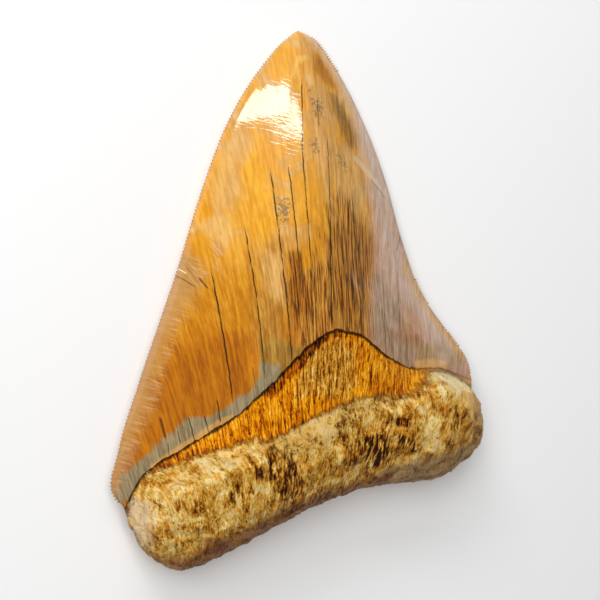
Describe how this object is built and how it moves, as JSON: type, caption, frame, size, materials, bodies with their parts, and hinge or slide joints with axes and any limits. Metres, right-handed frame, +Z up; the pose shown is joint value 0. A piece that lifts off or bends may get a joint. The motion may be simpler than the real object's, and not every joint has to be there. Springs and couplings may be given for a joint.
{
  "type": "megalodon tooth",
  "caption": "Large fossil shark tooth with a saw-edged triangular crown, a bare chevron below the enamel and a thick two-lobed root, lying on its flat face.",
  "frame": {"origin": "under the middle of the bounding box, on the surface that the tooth lies on", "axes": "+Y from the root towards the tip, +X towards the shorter cutting edge's heel, +Z up out of the domed lingual face"},
  "size_m": [0.1114, 0.131, 0.0289],
  "materials": {
    "fossil": "polished amber enamel on rough cream-brown fossil root"
  },
  "bodies": {
    "root": {"tooth": "fossil"}
  },
  "joints": []
}
